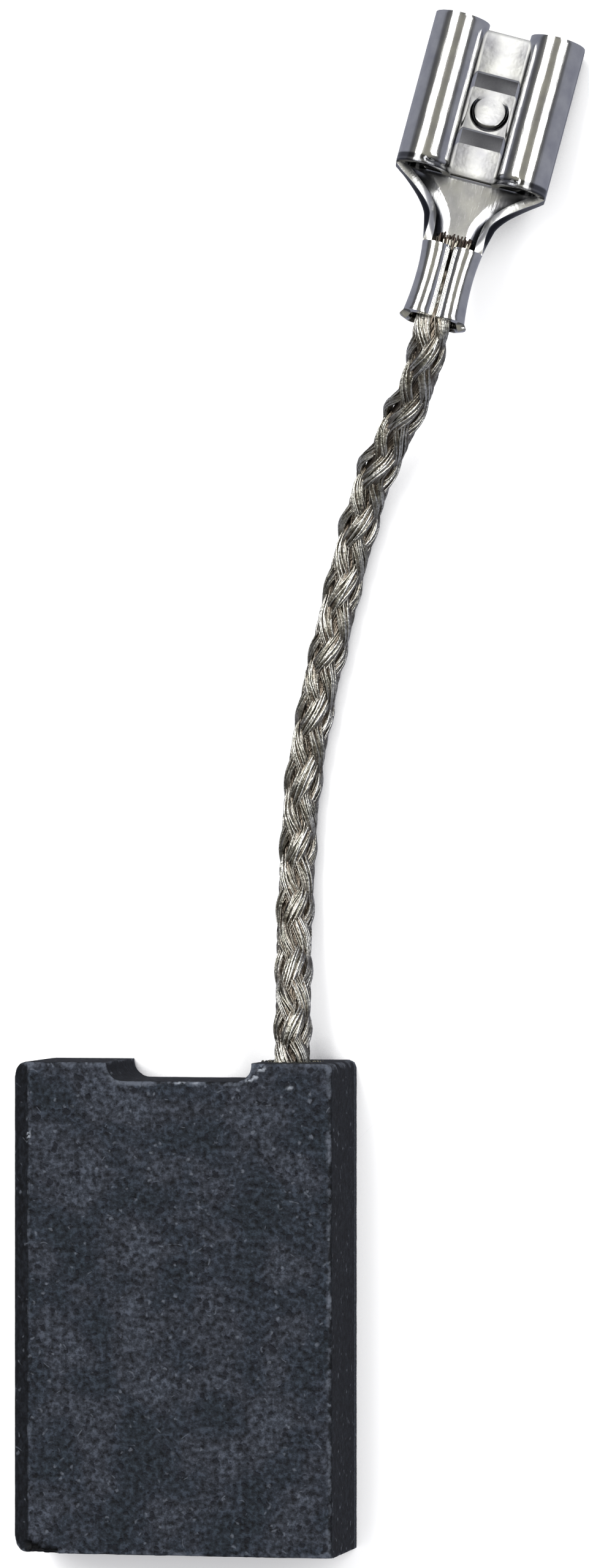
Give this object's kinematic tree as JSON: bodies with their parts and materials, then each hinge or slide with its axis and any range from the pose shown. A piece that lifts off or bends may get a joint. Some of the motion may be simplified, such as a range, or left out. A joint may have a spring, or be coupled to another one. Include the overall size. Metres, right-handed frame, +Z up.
{
  "type": "carbon brush",
  "caption": "Flat carbon brush block with a plaited copper shunt and a crimped receptacle for a flat blade tab, lying on its broad face.",
  "frame": {"origin": "centre of the block's lower broad face, on the surface that the brush lies on", "axes": "+Y from the contact face to the spring end and the shunt, +Z up through the block's thickness, +X towards the shunt's side"},
  "size_m": [0.0276, 0.0753, 0.0063],
  "materials": {
    "carbon": "pressed electrographite, matt and fine grained",
    "tamping_powder": "tamped copper powder, dull",
    "tinned_copper": "fine tinned copper wires, plaited",
    "tinned_brass": "bright tin plate on folded brass sheet"
  },
  "bodies": {
    "root": {"carbon_block": "carbon", "tamping_plug": "tamping_powder", "shunt_braid": "tinned_copper", "spade_terminal": "tinned_brass"}
  },
  "joints": []
}
